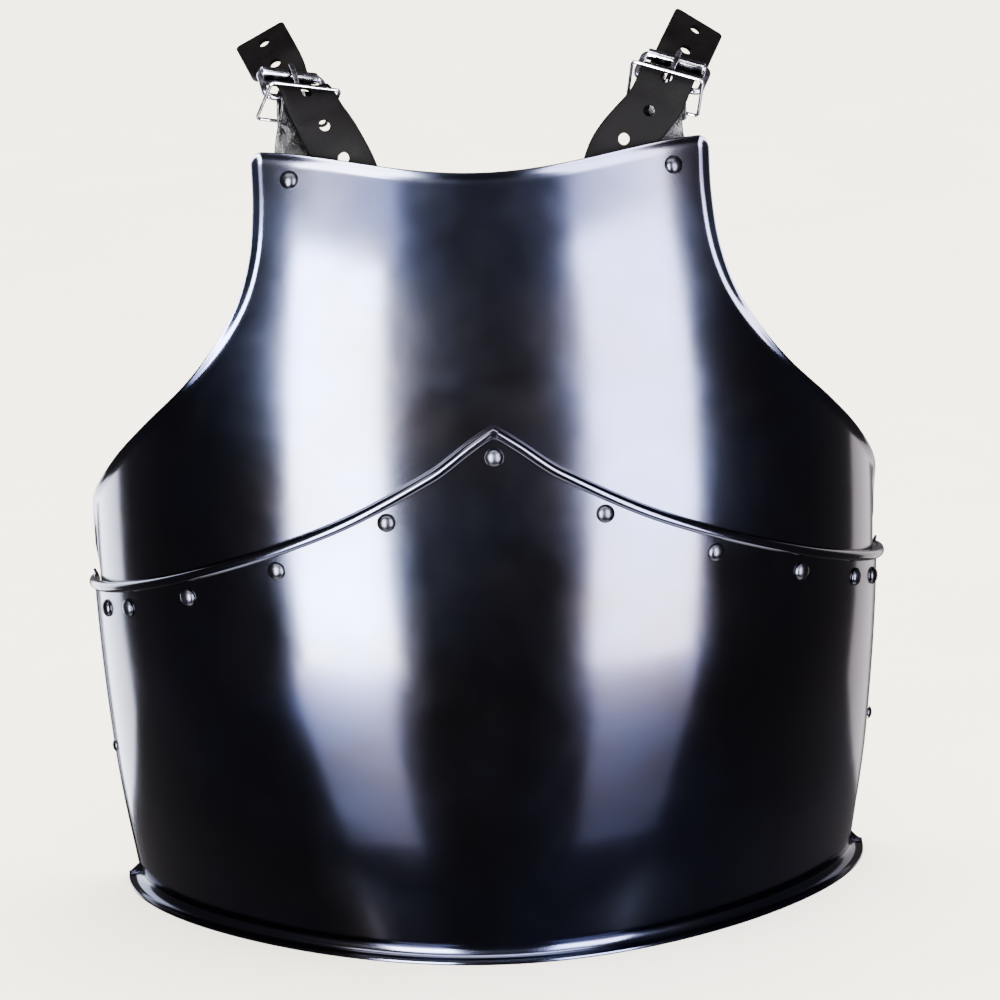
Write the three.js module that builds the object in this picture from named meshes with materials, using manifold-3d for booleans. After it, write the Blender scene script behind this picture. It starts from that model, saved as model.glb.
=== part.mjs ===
// Steel breastplate: an upper plate and an overlapping plackart, riveted together,
// with two buckled shoulder straps. Millimetres, +Z up, the front faces -Y.
// It stands on the turned lip of the plackart.
import * as THREE from 'three';
import * as BufferGeometryUtils from 'three/addons/utils/BufferGeometryUtils.js';
import Module from 'manifold-3d';

const wasm = await Module();
wasm.setup();

// ---------------------------------------------------------------- driving sizes
const SHEET = 1.4;            // thickness of both plates
const PLATE_GAP = 0.8;        // clearance between the two plates
const PLATE_TOP = 421.6;      // height of the neckline at its corners, without the turned edge
const NECK_DIP = 10.5;        // how far the neckline sags in the middle
const LAP = 32;               // how far the upper plate runs down behind the bead
const EDGE_RADIUS = 3.6;      // bend radius of the turned edges
const EDGE_ANGLE = 0.85;      // how far the turned edges bend outward, in radians
const LIP_RADIUS = 5;         // bend radius of the lower lip
const LIP_FLANGE = 2.4;       // flat width past the bend of the lower lip
const PLACKART_FOOT = LIP_RADIUS + SHEET;
const FLANK_ANGLE = 90;       // section angle at which the plates end at the sides, in degrees
const BEAD_RADIUS = 3.2;
const BEAD_PROUD = 1.8;       // centre of the bead above the outer face of the plackart
const RIVET_HEAD = 4.8;       // head radius
const RIVET_SHANK = 2.3;
const SHANK_CLEARANCE = 0.4;
const CONTACT = 0.3;          // gap kept between touching pieces
const FLAT_SAG = 0.4;         // the plates' flats lie up to this far inside the true curve
const STRAP_WIDTH = 28;
const STRAP_THICK = 2.6;
const HANGER_WIDTH = 20;
const HANGER_THICK = 2;
const HOLE_RADIUS = 3;
const HOLES = [8, 27, 70, 89, 108];   // strap holes, as lengths from the free end
const BAR_RADIUS = 1.7;       // buckle frame wire
const ROLLER_RADIUS = 3;
const BUCKLE_INSIDE = 15.2;   // half of the buckle's inner width
const BUCKLE_REACH = 9;       // from the middle of the buckle to either bar
const PRONG_RADIUS = 1.3;
const KEEPER_RADIUS = 0.9;

const V = (x, y, z) => new THREE.Vector3(x, y, z);
const degrees = (angle) => (angle * Math.PI) / 180;

// ---------------------------------------------------------------- plate surface

// A smooth curve through a few (input, value) pairs, as a function of the input.
function through(pairs) {
  const slope = pairs.map((pair, i) => {
    const a = pairs[Math.max(i - 1, 0)];
    const b = pairs[Math.min(i + 1, pairs.length - 1)];
    return (b[1] - a[1]) / (b[0] - a[0]);
  });
  return (input) => {
    let i = 0;
    while (i < pairs.length - 2 && input > pairs[i + 1][0]) i += 1;
    const span = pairs[i + 1][0] - pairs[i][0];
    const t = (input - pairs[i][0]) / span;
    const t2 = t * t;
    const t3 = t2 * t;
    return (2 * t3 - 3 * t2 + 1) * pairs[i][1] + (t3 - 2 * t2 + t) * span * slope[i]
      + (3 * t2 - 2 * t3) * pairs[i + 1][1] + (t3 - t2) * span * slope[i + 1];
  };
}

// Half width and depth of the body at each height, and how pointed its section is.
const halfWidth = through([[0, 194], [70, 204], [165, 210], [260, 209], [345, 200], [430, 183]]);
const depth = through([[0, 152], [70, 166], [165, 176], [260, 176], [345, 166], [430, 140]]);
const keel = through([[0, 0.03], [90, 0.0], [170, -0.022], [430, -0.026]]);
// Height of the bead, and the section angle of the armhole edge, with angles in degrees.
const beadHeight = through([[0, 289], [3, 281], [8, 266.5], [22, 238.5], [43, 211], [66, 189], [90, 172]]);
const armholeAngle = through([
  [130, 88], [200, 88], [216, 84], [230, 77], [244, 70], [262, 62], [280, 54.3], [303, 45.4], [326, 39.2],
  [350, 35], [374, 33.2], [400, 33.2], [424, 34.2],
]);

// A point of the body: angle round the section from the middle of the front, height,
// and distance out from the upper plate's outer face.
function bodyPoint(angle, height) {
  const turn = degrees(angle);
  const k = keel(height);
  return V(
    (halfWidth(height) * (Math.sin(turn) - k * Math.sin(3 * turn))) / (1 + k),
    (-depth(height) * (Math.cos(turn) + k * Math.cos(3 * turn))) / (1 + k),
    height,
  );
}

function bodyNormal(angle, height) {
  const across = bodyPoint(angle + 0.5, height).sub(bodyPoint(angle - 0.5, height));
  const up = bodyPoint(angle, height + 2).sub(bodyPoint(angle, height - 2));
  return across.cross(up).normalize();
}

const onBody = (angle, height, out) => bodyPoint(angle, height).addScaledVector(bodyNormal(angle, height), out);

const UPPER_FACE = 0;
const LOWER_FACE = PLATE_GAP + SHEET;

// Fractions along an edge, closer together towards both ends.
const easedSteps = (count, ease) => Array.from({ length: count + 1 }, (_, i) => {
  const t = (2 * i) / count - 1;
  return t + (ease * Math.sin(Math.PI * t)) / Math.PI;
});

// ---------------------------------------------------------------- mesh helpers

function geometryOf(points, triangles) {
  const geometry = new THREE.BufferGeometry();
  geometry.setAttribute('position', new THREE.BufferAttribute(new Float32Array(points.flatMap((p) => p.toArray())), 3));
  geometry.setIndex(triangles);
  return geometry;
}

function solid(geometry) {
  let source = geometry.clone();
  Object.keys(source.attributes).filter((name) => name !== 'position').forEach((name) => source.deleteAttribute(name));
  source = BufferGeometryUtils.mergeVertices(source, 1e-4);
  return new wasm.Manifold(new wasm.Mesh({
    numProp: 3,
    vertProperties: new Float32Array(source.attributes.position.array),
    triVerts: new Uint32Array(source.index.array),
  }));
}

function geometryFrom(manifold) {
  const mesh = manifold.getMesh();
  const geometry = new THREE.BufferGeometry();
  geometry.setAttribute('position', new THREE.BufferAttribute(new Float32Array(mesh.vertProperties), 3));
  geometry.setIndex(new THREE.BufferAttribute(new Uint32Array(mesh.triVerts), 1));
  return geometry;
}

// Places a geometry modelled along +Z so that its origin is at a point and +Z runs along an axis.
function place(geometry, point, axis, side = null) {
  const z = axis.clone().normalize();
  const reference = side ?? (Math.abs(z.z) < 0.9 ? V(0, 0, 1) : V(0, 1, 0));
  const y = z.clone().cross(reference).normalize();
  const x = y.clone().cross(z);
  return geometry.applyMatrix4(new THREE.Matrix4().makeBasis(x, y, z).setPosition(point));
}

// ---------------------------------------------------------------- sheet metal shells

// Loops of a turned edge: how far past the edge, how far up, and the sheet's angle there.
function turnedEdge(radius, angle, flange, steps) {
  const loops = [];
  for (let i = 1; i <= steps; i += 1) {
    const a = (angle * i) / steps;
    loops.push([radius * Math.sin(a), radius * (1 - Math.cos(a)), a]);
  }
  const [out, up] = loops[steps - 1];
  loops.push([out + flange * Math.cos(angle), up + flange * Math.sin(angle), angle]);
  return loops;
}

// A thin closed shell over a grid of (angle, height) places, with a turned edge on each side.
// edgeAt(side, height) gives the loops there; sides are 0 bottom, 1 right, 2 top and 3 left.
function shell(grid, face, edgeAt, flatBottom) {
  const rows = grid.length;
  const cols = grid[0].length;
  const points = [];
  const triangles = [];
  const quad = (a, b, c, d) => triangles.push(a, b, c, a, c, d);
  const layer = (offset) => grid.map((row) => row.map(([angle, height]) => {
    points.push(onBody(angle, height, face + offset));
    return points.length - 1;
  }));
  const outer = layer(0);
  const inner = layer(-SHEET);
  for (let r = 0; r < rows - 1; r += 1) {
    for (let c = 0; c < cols - 1; c += 1) {
      quad(outer[r][c], outer[r][c + 1], outer[r + 1][c + 1], outer[r + 1][c]);
      quad(inner[r][c], inner[r + 1][c], inner[r + 1][c + 1], inner[r][c + 1]);
    }
  }
  const rim = [];
  for (let c = 0; c < cols - 1; c += 1) rim.push([0, c, 0]);
  for (let r = 0; r < rows - 1; r += 1) rim.push([r, cols - 1, 1]);
  for (let c = cols - 1; c > 0; c -= 1) rim.push([rows - 1, c, 2]);
  for (let r = rows - 1; r > 0; r -= 1) rim.push([r, 0, 3]);
  const corner = ([r, c]) => (r === 0 || r === rows - 1) && (c === 0 || c === cols - 1);
  const loops = edgeAt(0, 0).length;
  const outerLoops = Array.from({ length: loops }, () => []);
  const innerLoops = Array.from({ length: loops }, () => []);
  rim.forEach(([r, c, side], i) => {
    const here = points[outer[r][c]];
    const [pr, pc] = rim[(i + rim.length - 1) % rim.length];
    const [nr, nc] = rim[(i + 1) % rim.length];
    const [angle, height] = grid[r][c];
    const normal = bodyNormal(angle, height);
    const before = here.clone().sub(points[outer[pr][pc]]).normalize();
    const after = points[outer[nr][nc]].clone().sub(here).normalize();
    let away = before.add(after).cross(normal).normalize();
    let up = normal;
    const start = here.clone();
    const atFoot = flatBottom && r === 0;
    if (atFoot) {
      start.z = height;
      away = V(0, 0, -1);
      up = V(normal.x, normal.y, 0).normalize();
    }
    const profile = edgeAt(corner([r, c]) && !atFoot && r > 0 ? 1 : side, height);
    profile.forEach(([out, rise, a], k) => {
      const p = start.clone().addScaledVector(away, out).addScaledVector(up, rise);
      const q = p.clone().addScaledVector(away, SHEET * Math.sin(a)).addScaledVector(up, -SHEET * Math.cos(a));
      points.push(p, q);
      outerLoops[k].push(points.length - 2);
      innerLoops[k].push(points.length - 1);
    });
  });
  const rings = [
    rim.map(([r, c]) => outer[r][c]), ...outerLoops,
    ...innerLoops.reverse(), rim.map(([r, c]) => inner[r][c]),
  ];
  for (let k = 0; k < rings.length - 1; k += 1) {
    for (let i = 0; i < rim.length; i += 1) {
      const j = (i + 1) % rim.length;
      quad(rings[k][i], rings[k + 1][i], rings[k + 1][j], rings[k][j]);
    }
  }
  return geometryOf(points, triangles);
}

const EDGE_STEPS = 2;
const softEdge = turnedEdge(EDGE_RADIUS, EDGE_ANGLE, 0.9, EDGE_STEPS);
const plainEdge = softEdge.map((_, i) => [0.8 * (i + 1), 0, 0]);

// Height on the upper plate, a fraction of the way from its hidden lower edge to the neckline.
function rowHeight(angle, fraction) {
  const bottom = beadHeight(Math.abs(angle)) - LAP;
  const neck = Math.cos(degrees(Math.min(90, (Math.abs(angle) / 33) * 90)));
  const top = PLATE_TOP - NECK_DIP * neck * neck;
  return bottom + fraction * (top - bottom);
}

// Where the armhole edge crosses one of those rows, found by closing in on it.
function edgeAngle(fraction) {
  let angle = 60;
  for (let i = 0; i < 40; i += 1) {
    angle = (angle + armholeAngle(rowHeight(angle, fraction))) / 2;
  }
  return angle;
}

// Grid of the upper plate: level rows between the hidden lower edge and the neckline.
function upperGrid() {
  const cols = easedSteps(30, 0.25);
  const heights = [0, 0.09, 0.17, 0.24, 0.29, 0.33, 0.37, 0.42, 0.47, 0.52, 0.575, 0.63, 0.69, 0.76, 0.83, 0.9, 0.96, 1];
  return heights.map((w) => {
    const edge = edgeAngle(w) - (w === 1 ? 0.6 : 0);
    return cols.map((u) => [u * edge, rowHeight(u * edge, w)]);
  });
}

// Grid of the plackart: from the lip's bend up to the middle of the bead.
function plackartGrid() {
  const cols = easedSteps(34, 0);
  const steps = 10;
  return Array.from({ length: steps + 1 }, (_, r) => cols.map((u) => {
    const angle = u * FLANK_ANGLE;
    return [angle, PLACKART_FOOT + (r / steps) * (beadHeight(Math.abs(angle)) - PLACKART_FOOT)];
  }));
}

// ---------------------------------------------------------------- swept pieces

// A closed solid through sections; each section is a ring of points of the same length.
function loft(sections) {
  const points = sections.flat();
  const count = sections[0].length;
  const triangles = [];
  for (let s = 0; s < sections.length - 1; s += 1) {
    for (let i = 0; i < count; i += 1) {
      const j = (i + 1) % count;
      const a = s * count;
      const b = a + count;
      if (points[a + i].distanceTo(points[b + j]) < points[a + j].distanceTo(points[b + i])) {
        triangles.push(a + i, a + j, b + j, a + i, b + j, b + i);
      } else {
        triangles.push(a + i, a + j, b + i, a + j, b + j, b + i);
      }
    }
  }
  const last = (sections.length - 1) * count;
  for (let i = 1; i < count - 1; i += 1) {
    triangles.push(0, i + 1, i, last, last + i, last + i + 1);
  }
  return geometryOf(points, triangles);
}

// A round bar along points, with a given number of sides.
function bar(route, radius, sides, up) {
  const sections = route.map((p, i) => {
    const along = route[Math.min(i + 1, route.length - 1)].clone().sub(route[Math.max(i - 1, 0)]).normalize();
    const x = up(i).clone().addScaledVector(along, -up(i).dot(along)).normalize();
    const y = along.clone().cross(x);
    return Array.from({ length: sides }, (_, k) => {
      const a = (2 * Math.PI * k) / sides;
      return p.clone().addScaledVector(x, radius * Math.cos(a)).addScaledVector(y, radius * Math.sin(a));
    });
  });
  return loft(sections);
}

// A flat strap along stations { at, wide }, where wide points across the strap.
function ribbon(stations, width, thick) {
  const bevel = thick * 0.3;
  const sections = stations.map(({ at, wide }, i) => {
    const next = stations[Math.min(i + 1, stations.length - 1)].at;
    const along = next.clone().sub(stations[Math.max(i - 1, 0)].at).normalize();
    const x = wide.clone().addScaledVector(along, -wide.dot(along)).normalize();
    const y = along.clone().cross(x);
    const outline = [
      [width / 2, -thick / 2 + bevel], [width / 2, thick / 2 - bevel], [width / 2 - bevel, thick / 2],
      [-width / 2 + bevel, thick / 2], [-width / 2, thick / 2 - bevel], [-width / 2, -thick / 2 + bevel],
      [-width / 2 + bevel, -thick / 2], [width / 2 - bevel, -thick / 2],
    ];
    return outline.map(([a, b]) => at.clone().addScaledVector(x, a).addScaledVector(y, b));
  });
  return loft(sections);
}

// Evenly spaced stations on a smooth route through hand-placed ones.
function smoothStations(list, count) {
  const route = new THREE.CatmullRomCurve3(list.map((s) => s.at), false, 'centripetal');
  const wides = new THREE.CatmullRomCurve3(list.map((s) => s.wide), false, 'catmullrom');
  return Array.from({ length: count + 1 }, (_, i) => {
    const t = i / count;
    return { at: route.getPoint(t), wide: wides.getPoint(t).normalize() };
  });
}

// ---------------------------------------------------------------- rivets

// A round-head rivet through a stack: head outside, peened tail inside.
function rivetGeometry(head, shank, stack, segments = 10) {
  const rise = head * 0.62;
  const tail = -stack - CONTACT - FLAT_SAG;
  const profile = [
    [0, tail - 1.3], [head * 0.7, tail - 0.9], [head * 0.7, tail], [shank, tail], [shank, CONTACT],
    [head, CONTACT], [head * 0.82, CONTACT + rise * 0.6], [0, CONTACT + rise],
  ];
  const lathe = new THREE.LatheGeometry(profile.map(([r, z]) => new THREE.Vector2(r, z)), segments);
  return lathe.rotateX(Math.PI / 2);
}

const boreGeometry = (radius, length) => new THREE.CylinderGeometry(radius, radius, length, 10).rotateX(Math.PI / 2);

// Section angle at which the body's girth, measured at bead height, reaches a length from the middle.
function angleAtGirth(length) {
  let angle = 0;
  let girth = 0;
  while (girth < length) {
    const a = bodyPoint(angle, 200);
    angle += 0.25;
    girth += bodyPoint(angle, 200).distanceTo(a);
  }
  return angle;
}

// Rivets from the middle out: length along the girth, and drop below the bead's centre.
const RIVET_GIRTHS = [0, 54.5, 112, 166, 219, 253];
const RIVET_DROPS = [13, 10, 10.5, 11, 11.5, 12];

const plackartRivets = [-5, -4, -3, -2, -1, 0, 1, 2, 3, 4, 5].map((step) => {
  const count = Math.abs(step);
  const angle = Math.sign(step) * angleAtGirth(RIVET_GIRTHS[count]);
  const height = beadHeight(Math.abs(angle)) - RIVET_DROPS[count];
  return {
    at: onBody(angle, height, LOWER_FACE), axis: bodyNormal(angle, height), stack: 2 * SHEET + PLATE_GAP,
  };
});

const SHOULDER_RIVET = { angle: 28.6, height: 412.3 };
const SIDE_RIVET = { angle: 84, height: 82 };
const sides = [{ name: 'left', s: -1 }, { name: 'right', s: 1 }];

// ---------------------------------------------------------------- shoulder fittings

// Directions at the shoulders: across, up in the leaning strap plane, and back from it.
const ACROSS = V(1, 0, 0);
const RISE = V(0, 0.156, 0.988);
const BACK = V(0, 0.988, -0.156);

const mix = (...terms) => terms.reduce((sum, [vector, amount]) => sum.addScaledVector(vector, amount), V(0, 0, 0));

// The buckle's own frame: e1 along its bars, e2 from the heel bar to the roller, e3 outward.
// Its bars fall towards the outside by the tilt, and e2 leans outward and back.
function buckleFrame(s, reach, tilt, outward, back) {
  const upright = mix([RISE, Math.cos(outward)], [ACROSS, s * Math.sin(outward)]);
  const e2 = mix([upright, Math.cos(back)], [BACK, Math.sin(back)]);
  const level = mix([ACROSS, Math.cos(tilt)], [RISE, -s * Math.sin(tilt)]);
  const e1 = level.addScaledVector(BACK, -level.dot(e2) / BACK.dot(e2)).normalize();
  return { centre: V(s * reach, -108, 455), e1, e2, e3: e1.clone().cross(e2) };
}

const shoulderFor = {
  left: { s: -1, strap: degrees(27.5), ...buckleFrame(-1, 92.5, degrees(-9), degrees(16), degrees(46)) },
  right: { s: 1, strap: degrees(33), ...buckleFrame(1, 98.8, degrees(18), degrees(31), degrees(45)) },
};

const inBuckle = (b, x, y, z) => b.centre.clone().addScaledVector(b.e1, x).addScaledVector(b.e2, y).addScaledVector(b.e3, z);

const FOLD_REACH = BAR_RADIUS * 1.12 + 0.8 + HANGER_THICK / 2;
const STRAP_AT_HEEL = FOLD_REACH + HANGER_THICK / 2 + STRAP_THICK / 2 + 1.8;
const STRAP_AT_ROLLER = -(ROLLER_RADIUS + CONTACT + STRAP_THICK / 2 + 0.9);

// The long strap: riveted inside the opposite flank, across the hollow, up behind the
// neckline, over the heel bar, under the roller, and out to its punched free end.
function strapStations(b) {
  const { s } = b;
  const lower = mix([RISE, Math.cos(b.strap)], [ACROSS, s * Math.sin(b.strap)]);
  const wide = mix([ACROSS, Math.cos(b.strap)], [RISE, -s * Math.sin(b.strap)]);
  const underPlate = SHEET + STRAP_THICK / 2 + 2.6;
  const neck = onBody(s * 20.2, 423, -underPlate);
  const wideHere = (angle, height) => {
    const normal = bodyNormal(s * angle, height);
    return wide.clone().addScaledVector(normal, -wide.dot(normal)).normalize();
  };
  const heel = inBuckle(b, 0, -BUCKLE_REACH, STRAP_AT_HEEL);
  const roller = inBuckle(b, 0, BUCKLE_REACH, STRAP_AT_ROLLER);
  const tail = roller.clone().addScaledVector(lower, 28).addScaledVector(BACK, 34);
  const inset = SHEET + PLATE_GAP + STRAP_THICK / 2;
  const flank = (height, extra) => onBody(-s * SIDE_RIVET.angle, height, -inset - extra);
  const along = V(0, s, 0);
  const behind = s > 0 ? 9 : 0;
  return [
    { at: flank(SIDE_RIVET.height - 14, 0), wide: along },
    { at: flank(SIDE_RIVET.height + 22, 0), wide: along },
    { at: flank(SIDE_RIVET.height + 70, 9), wide: mix([along, 1], [wide, 0.25]).normalize() },
    { at: V(-s * 112, -62, 245), wide: mix([along, 1], [wide, 0.9]).normalize() },
    { at: V(-s * 22, -118 + behind, 333), wide: mix([along, 0.2], [wide, 1]).normalize() },
    { at: V(s * 20, -118 + behind, 366), wide },
    { at: onBody(s * 15.4, 394, -underPlate - 0.9), wide: wideHere(15.4, 394) },
    { at: neck, wide: wideHere(20.2, 423) },
    {
      at: neck.clone().lerp(heel, 0.6).addScaledVector(BACK, -0.8).addScaledVector(ACROSS, s > 0 ? 3.4 : 0),
      wide: mix([wide, s > 0 ? 0.6 : 0.25], [b.e1, s > 0 ? 0.4 : 0.75]).normalize(),
    },
    { at: heel, wide: b.e1 },
    { at: heel.clone().lerp(roller, 0.5), wide: b.e1 },
    { at: roller, wide: b.e1 },
    { at: roller.clone().lerp(tail, 0.5).addScaledVector(BACK, -1), wide },
    { at: tail, wide },
  ];
}

// Punches holes through a strap at stations along it.
function punch(geometry, stations, lengths, radius) {
  let result = solid(geometry);
  lengths.forEach((length) => {
    let walked = 0;
    let i = stations.length - 1;
    while (i > 1) {
      const step = stations[i].at.distanceTo(stations[i - 1].at);
      if (walked + step > length) break;
      walked += step;
      i -= 1;
    }
    const along = stations[i].at.clone().sub(stations[i - 1].at).normalize();
    const at = stations[i].at.clone().addScaledVector(along, -(length - walked));
    const axis = along.clone().cross(stations[i].wide).normalize();
    result = result.subtract(solid(place(boreGeometry(radius, 3 * STRAP_THICK), at, axis)));
  });
  return result;
}

// The short buckle strap: inside the plate at the shoulder rivet, up round the heel bar
// and back down behind itself.
function hangerStations(b) {
  const { s } = b;
  const { angle } = SHOULDER_RIVET;
  const behindPlate = (height, extra) => onBody(s * angle, height, -SHEET - HANGER_THICK / 2 - 1.3 - extra);
  const alongPlate = bodyPoint(s * angle + 1, 410).sub(bodyPoint(s * angle - 1, 410)).normalize();
  const reach = FOLD_REACH;
  const wide = b.e1;
  const down = mix([RISE, -1]);
  const fold = [0, 45, 90, 135, 180].map((a) => ({
    at: inBuckle(b, 0, -BUCKLE_REACH + reach * Math.sin(degrees(a)), reach * Math.cos(degrees(a))),
    wide,
  }));
  const back = inBuckle(b, 0, -BUCKLE_REACH, -reach);
  const gapBack = 2 * CONTACT + HANGER_THICK;
  return [
    { at: behindPlate(SHOULDER_RIVET.height - 9, 0), wide: alongPlate },
    { at: behindPlate(SHOULDER_RIVET.height, 0), wide: alongPlate },
    { at: behindPlate(SHOULDER_RIVET.height + 10, 1.2), wide: mix([alongPlate, 0.8], [wide, 0.2]).normalize() },
    { at: behindPlate(SHOULDER_RIVET.height + 20, 2.6), wide: mix([alongPlate, 0.4], [wide, 0.6]).normalize() },
    { at: inBuckle(b, 0, -BUCKLE_REACH - 5.5, reach - 3.2), wide },
    ...fold,
    { at: back.clone().addScaledVector(down, 6).addScaledVector(BACK, 0.6), wide },
    { at: back.clone().addScaledVector(down, 16).addScaledVector(BACK, gapBack - 2), wide },
  ];
}

function ringShape(outX, outY, thick, cornerRadius) {
  const path = (x, y, r, Kind) => {
    const shape = new Kind();
    shape.moveTo(x - r, -y);
    shape.absarc(x - r, -y + r, r, -Math.PI / 2, 0, false);
    shape.absarc(x - r, y - r, r, 0, Math.PI / 2, false);
    shape.absarc(-x + r, y - r, r, Math.PI / 2, Math.PI, false);
    shape.absarc(-x + r, -y + r, r, Math.PI, 1.5 * Math.PI, false);
    return shape;
  };
  const shape = path(outX, outY, cornerRadius, THREE.Shape);
  shape.holes.push(path(outX - thick, outY - thick, Math.max(cornerRadius - thick, 0.6), THREE.Path));
  return shape;
}

// A flat ring of round-edged bar, centred on its own plane.
function ringGeometry(halfX, halfY, radius, cornerRadius) {
  const bevel = radius * 0.5;
  const geometry = new THREE.ExtrudeGeometry(ringShape(halfX + radius - bevel, halfY + radius - bevel, 2 * (radius - bevel), cornerRadius), {
    depth: 2 * (radius - bevel), bevelEnabled: true, bevelThickness: bevel, bevelSize: bevel, bevelSegments: 1, curveSegments: 2,
  });
  return geometry.translate(0, 0, -(radius - bevel));
}

const basis = (b) => new THREE.Matrix4().makeBasis(b.e1, b.e2, b.e3).setPosition(b.centre);

function frameGeometry(b) {
  return ringGeometry(BUCKLE_INSIDE + BAR_RADIUS, BUCKLE_REACH, BAR_RADIUS, 3.5).applyMatrix4(basis(b));
}

function rollerGeometry(b) {
  const half = BUCKLE_INSIDE - CONTACT - 0.6;
  const bore = BAR_RADIUS * 1.12 + CONTACT;
  const profile = [[bore, -half], [ROLLER_RADIUS, -half], [ROLLER_RADIUS, half], [bore, half], [bore, -half]];
  const lathe = new THREE.LatheGeometry(profile.map(([r, y]) => new THREE.Vector2(r, y)), 16);
  return lathe.rotateZ(Math.PI / 2).translate(0, BUCKLE_REACH, 0).applyMatrix4(basis(b));
}

const PRONG_LOOP = BAR_RADIUS * 1.12 + CONTACT + PRONG_RADIUS;
const PRONG_RISE = PRONG_LOOP + 0.6;

// The prong: an open ring round the heel bar and a pin that rests on the roller.
function prongGeometry(b) {
  const route = [];
  for (let a = -150; a <= 90; a += 30) {
    route.push(inBuckle(b, 0, -BUCKLE_REACH - PRONG_LOOP * Math.cos(degrees(a)), PRONG_LOOP * Math.sin(degrees(a))));
  }
  const rest = ROLLER_RADIUS + CONTACT + PRONG_RADIUS;
  route.push(inBuckle(b, 0, -BUCKLE_REACH + 7, PRONG_RISE));
  route.push(inBuckle(b, 0, BUCKLE_REACH - 1, rest + 0.1));
  route.push(inBuckle(b, 0, BUCKLE_REACH + 3.4, rest - 0.4));
  return bar(route, PRONG_RADIUS, 8, () => b.e1);
}

// The wire keeper: a narrow loop round the strap and the buckle strap, below the heel bar.
function keeperGeometry(b) {
  const high = STRAP_AT_HEEL + STRAP_THICK / 2 + CONTACT + KEEPER_RADIUS + 1.4;
  const low = -12.6;
  const ring = ringGeometry(BUCKLE_INSIDE + 3.4, (high - low) / 2, KEEPER_RADIUS, 2);
  const local = new THREE.Matrix4().makeBasis(V(1, 0, 0), V(0, 0, 1), V(0, -1, 0)).setPosition(0, -BUCKLE_REACH - 3.2, (high + low) / 2);
  return ring.applyMatrix4(local).applyMatrix4(basis(b));
}

// ---------------------------------------------------------------- materials

const steel = (color) => new THREE.MeshStandardMaterial({ color, metalness: 1, roughness: 0.22 });
const leather = (color) => new THREE.MeshStandardMaterial({ color, metalness: 0, roughness: 0.6 });

const group = new THREE.Group();

function add(name, geometry, material) {
  const mesh = new THREE.Mesh(geometry, material);
  mesh.name = name;
  group.add(mesh);
}

// ---------------------------------------------------------------- plates

const shankBore = RIVET_SHANK + SHANK_CLEARANCE;
const boreAt = (rivet) => solid(place(boreGeometry(shankBore, 30), rivet.at, rivet.axis));

const shoulderRivets = sides.map(({ s }) => ({
  at: onBody(s * SHOULDER_RIVET.angle, SHOULDER_RIVET.height, UPPER_FACE),
  axis: bodyNormal(s * SHOULDER_RIVET.angle, SHOULDER_RIVET.height),
  stack: SHEET + HANGER_THICK + 2 * CONTACT + 1,
}));

const sideRivets = sides.map(({ s }) => ({
  at: onBody(s * SIDE_RIVET.angle, SIDE_RIVET.height, LOWER_FACE),
  axis: bodyNormal(s * SIDE_RIVET.angle, SIDE_RIVET.height),
  stack: SHEET + STRAP_THICK + 3 * CONTACT,
}));

function breastPlate() {
  const coveredTo = beadHeight(FLANK_ANGLE) + 2 * BEAD_RADIUS;
  const edgeAt = (side, height) => (side === 0 || height < coveredTo ? plainEdge : softEdge);
  let plate = solid(shell(upperGrid(), UPPER_FACE, edgeAt, false));
  [...plackartRivets, ...shoulderRivets].forEach((rivet) => {
    plate = plate.subtract(boreAt(rivet));
  });
  return geometryFrom(plate);
}

function beadGeometry() {
  const angles = easedSteps(52, 0).map((u) => u * (FLANK_ANGLE + 1.2));
  const route = angles.map((angle) => onBody(angle, beadHeight(Math.abs(angle)), LOWER_FACE + BEAD_PROUD));
  const out = (i) => bodyNormal(angles[i], beadHeight(Math.abs(angles[i])));
  return bar(route, BEAD_RADIUS, 8, out);
}

function plackart() {
  const lip = turnedEdge(LIP_RADIUS, Math.PI / 2, LIP_FLANGE, 2);
  const side = turnedEdge(EDGE_RADIUS, EDGE_ANGLE, 0.9, 2);
  const top = lip.map((_, i) => [0.2 * (i + 1), 0, 0]);
  const edgeAt = (where, height) => (height <= PLACKART_FOOT ? lip : [lip, side, top, side][where]);
  let plate = solid(shell(plackartGrid(), LOWER_FACE, edgeAt, true)).add(solid(beadGeometry()));
  [...plackartRivets, ...sideRivets].forEach((rivet) => {
    plate = plate.subtract(boreAt(rivet));
  });
  return geometryFrom(plate);
}

add('breast_plate', breastPlate(), steel(0x2b2d38));
add('plackart', plackart(), steel(0x2b2d38));

plackartRivets.forEach((rivet, i) => {
  add(`plackart_rivet_${i + 1}`, place(rivetGeometry(RIVET_HEAD, RIVET_SHANK, rivet.stack), rivet.at, rivet.axis), steel(0x3a3b42));
});

// ---------------------------------------------------------------- straps and buckles

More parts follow.
